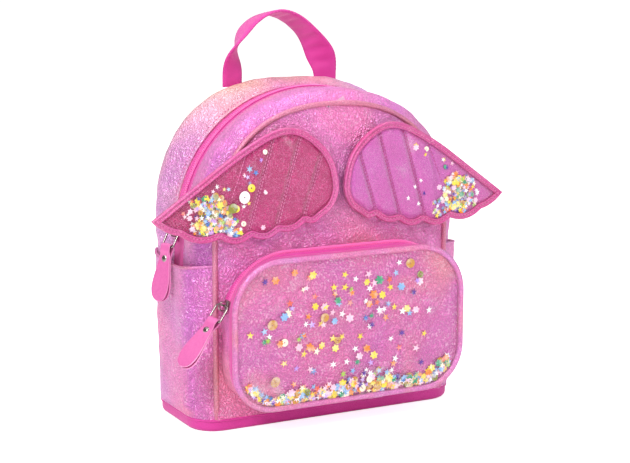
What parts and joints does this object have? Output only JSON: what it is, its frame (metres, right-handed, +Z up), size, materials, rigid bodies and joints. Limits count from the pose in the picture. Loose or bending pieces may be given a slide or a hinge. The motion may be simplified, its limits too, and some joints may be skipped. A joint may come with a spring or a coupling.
{
  "type": "mini backpack",
  "caption": "Child's arched mini backpack in iridescent pink foil leather, with confetti-filled wings on its folding front flap and a clear confetti pocket.",
  "frame": {"origin": "middle of the underside of the base", "axes": "+Z up, -Y toward the front with the wings, +X to the wearer-side left hand seen from behind, the right hand seen from the front"},
  "size_m": [0.298, 0.1602, 0.3063],
  "materials": {
    "foil_pink": "iridescent crinkled metallic foil",
    "hot_pink_fabric": "woven, matt",
    "salmon_foil": "metallic foil",
    "nickel": "polished nickel plate",
    "pull_leather": "soft satin",
    "clear_vinyl": "clear gloss",
    "raspberry_glitter": "fine glitter",
    "orchid_satin": "satin foil",
    "confetti_mix": "shiny, many colours",
    "stiffener_board": "plain",
    "moulded_plastic": "moulded"
  },
  "bodies": {
    "bag_body": {"base_panel": "hot_pink_fabric", "base_board": "stiffener_board", "side_panel_left": "foil_pink", "side_panel_right": "foil_pink", "side_pocket_left": "foil_pink", "side_pocket_right": "foil_pink", "front_panel_lower": "foil_pink", "back_panel": "foil_pink", "rear_gusset": "foil_pink", "piping_front_left": "salmon_foil", "piping_front_right": "salmon_foil", "piping_back": "foil_pink", "zip_half_rear": "hot_pink_fabric", "pocket_gusset_lower": "foil_pink", "pocket_zip_half_rear": "hot_pink_fabric", "pocket_piping_lower": "foil_pink", "pocket_backing_lower": "orchid_satin", "pocket_window_lower": "clear_vinyl", "pocket_confetti": "confetti_mix", "shoulder_strap_left": "foil_pink", "shoulder_strap_right": "foil_pink", "strap_webbing_left": "hot_pink_fabric", "strap_webbing_right": "hot_pink_fabric", "strap_anchor_left": "foil_pink", "strap_anchor_right": "foil_pink"},
    "front_flap": {"front_panel_upper": "foil_pink", "front_gusset": "foil_pink", "piping_front_arch": "salmon_foil", "zip_half_front": "hot_pink_fabric", "wing_left_backing_root": "raspberry_glitter", "wing_left_rim_root": "foil_pink", "wing_left_window_root": "clear_vinyl", "wing_right_backing_root": "orchid_satin", "wing_right_rim_root": "foil_pink", "wing_right_window_root": "clear_vinyl"},
    "pocket_lid": {"pocket_gusset_upper": "foil_pink", "pocket_zip_half_front": "hot_pink_fabric", "pocket_piping_upper": "foil_pink", "pocket_backing_upper": "orchid_satin", "pocket_window_upper": "clear_vinyl"},
    "wing_tip_left": {"wing_left_backing_tip": "raspberry_glitter", "wing_left_rim_tip": "foil_pink", "wing_left_window_tip": "clear_vinyl", "wing_left_confetti": "confetti_mix"},
    "wing_tip_right": {"wing_right_backing_tip": "orchid_satin", "wing_right_rim_tip": "foil_pink", "wing_right_window_tip": "clear_vinyl", "wing_right_confetti": "confetti_mix"},
    "main_zip_slider": {"main_slider": "nickel"},
    "main_ring": {"main_pull_ring": "nickel"},
    "main_tab": {"main_pull_tab": "pull_leather", "main_pull_rivet": "nickel"},
    "pocket_zip_slider": {"pocket_slider": "nickel"},
    "pocket_ring": {"pocket_pull_ring": "nickel"},
    "pocket_tab": {"pocket_pull_tab": "pull_leather", "pocket_pull_rivet": "nickel"},
    "handle": {"carry_handle": "hot_pink_fabric"},
    "adjuster_left": {"strap_adjuster_left": "moulded_plastic"},
    "adjuster_right": {"strap_adjuster_right": "moulded_plastic"}
  },
  "joints": [
    {"name": "flap_fold", "type": "hinge", "parent": "bag_body", "child": "front_flap", "pos_m": [0, -0.056, 0.139], "axis": [1, 0, 0], "range_deg": [0, 35]},
    {"name": "pocket_lid_fold", "type": "hinge", "parent": "bag_body", "child": "pocket_lid", "pos_m": [0, -0.082, 0.092], "axis": [1, 0, 0], "range_deg": [0, 25]},
    {"name": "wing_tip_left_fold", "type": "hinge", "parent": "front_flap", "child": "wing_tip_left", "pos_m": [-0.09, -0.0566, 0.175], "axis": [0, 0, 1], "range_deg": [-8, 60]},
    {"name": "wing_tip_right_fold", "type": "hinge", "parent": "front_flap", "child": "wing_tip_right", "pos_m": [0.09, -0.0566, 0.175], "axis": [0, 0, -1], "range_deg": [-8, 60]},
    {"name": "main_slider_run", "type": "hinge", "parent": "bag_body", "child": "main_zip_slider", "pos_m": [0, -0.002, 0.144], "axis": [0, 1, 0], "range_deg": [0, 177]},
    {"name": "main_ring_swing", "type": "hinge", "parent": "main_zip_slider", "child": "main_ring", "pos_m": [-0.11193, -0.00189, 0.14749], "axis": [-0.33, 0.944, 0], "range_deg": [0, 80]},
    {"name": "main_tab_swing", "type": "hinge", "parent": "main_ring", "child": "main_tab", "pos_m": [-0.11843, -0.00416, 0.13646], "axis": [-0.33, 0.944, 0], "range_deg": [-4, 60]},
    {"name": "pocket_slider_run", "type": "hinge", "parent": "bag_body", "child": "pocket_zip_slider", "pos_m": [-0.045, -0.057, 0.086], "axis": [0, -1, 0], "range_deg": [-38, 0]},
    {"name": "pocket_ring_swing", "type": "hinge", "parent": "pocket_zip_slider", "child": "pocket_ring", "pos_m": [-0.09718, -0.05694, 0.1001], "axis": [-0.299, 0.9467, 0.1196], "range_deg": [-8, 60]},
    {"name": "pocket_tab_swing", "type": "hinge", "parent": "pocket_ring", "child": "pocket_tab", "pos_m": [-0.10494, -0.05823, 0.08977], "axis": [-0.299, 0.9467, 0.1196], "range_deg": [-25, 50]},
    {"name": "handle_tilt", "type": "hinge", "parent": "bag_body", "child": "handle", "pos_m": [0, 0.047, 0.252], "axis": [1, 0, 0], "range_deg": [-45, 35]},
    {"name": "adjuster_left_slide", "type": "slide", "parent": "bag_body", "child": "adjuster_left", "axis": [-0.2716, -0.1639, -0.9484], "range_m": [-0.02, 0.026]},
    {"name": "adjuster_right_slide", "type": "slide", "parent": "bag_body", "child": "adjuster_right", "axis": [0.2716, -0.1639, -0.9484], "range_m": [-0.02, 0.026]}
  ]
}
